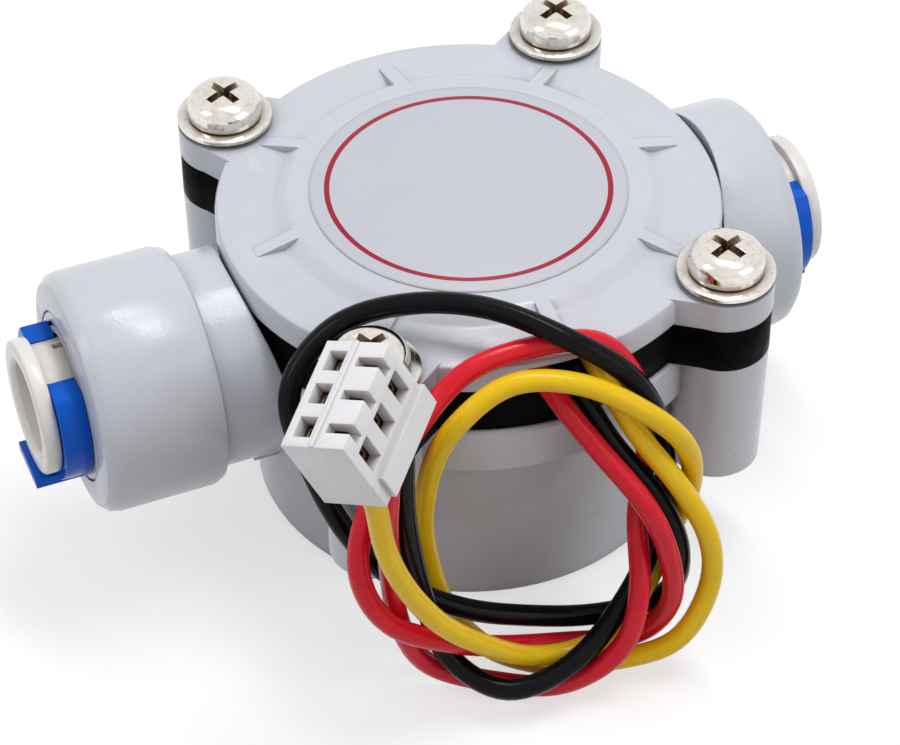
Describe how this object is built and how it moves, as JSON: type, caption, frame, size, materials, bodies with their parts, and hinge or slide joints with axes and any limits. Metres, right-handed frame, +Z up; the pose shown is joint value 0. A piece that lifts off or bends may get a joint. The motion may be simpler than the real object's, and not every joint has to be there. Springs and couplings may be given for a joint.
{
  "type": "water flow sensor",
  "caption": "Inline water flow sensor: round rotor chamber with push-in tube ports, locking clips, screwed cover and a three-wire lead with a plug.",
  "frame": {"origin": "on the axis of the rotor chamber, at the foot of the housing", "axes": "+Z up along the rotor axle, +X along the two tube ports towards the short one, -Y towards the lead"},
  "size_m": [0.0588, 0.0449, 0.0329],
  "materials": {
    "white_plastic": "smooth moulded, glossy",
    "black_plastic": "moulded, semi-matt",
    "seal_rubber": "smooth",
    "label_film": "thin printed film",
    "screw_steel": "nickel plated",
    "washer_steel": "nickel plated",
    "spring_steel": "spring steel",
    "axle_steel": "ground stainless",
    "rotor_plastic": "moulded",
    "magnet": "plated magnet",
    "board": "circuit board",
    "chip": "moulded chip",
    "board_part": "ceramic",
    "solder": "solder",
    "wire_red": "extruded sheath",
    "wire_black": "extruded sheath",
    "wire_yellow": "extruded sheath",
    "plug_plastic": "moulded nylon",
    "contact_brass": "plated brass",
    "collet_plastic": "smooth moulded",
    "clip_blue": "smooth moulded"
  },
  "bodies": {
    "sensor": {"housing": "white_plastic", "seal": "seal_rubber", "seal_plate": "black_plastic", "cover": "white_plastic", "label": "label_film", "screws": "screw_steel", "washers": "washer_steel", "split_washers": "spring_steel", "axle": "axle_steel", "circuit_board": "board", "hall_chip": "chip", "board_parts": "board_part", "solder": "solder", "wire_red": "wire_red", "wire_black": "wire_black", "wire_yellow": "wire_yellow", "plug": "plug_plastic", "contact_1": "contact_brass", "contact_2": "contact_brass", "contact_3": "contact_brass", "left_cartridge": "white_plastic", "left_seal": "seal_rubber", "left_grab_ring": "spring_steel", "left_collet": "collet_plastic", "left_clip": "clip_blue", "right_cartridge": "white_plastic", "right_seal": "seal_rubber", "right_grab_ring": "spring_steel", "right_collet": "collet_plastic", "right_clip": "clip_blue"},
    "rotor": {"rotor": "rotor_plastic", "magnets": "magnet"}
  },
  "joints": [
    {"name": "rotor_spin", "type": "hinge", "parent": "sensor", "child": "rotor", "pos_m": [0, 0, 0.01], "axis": [0, 0, 1], "continuous": true}
  ]
}
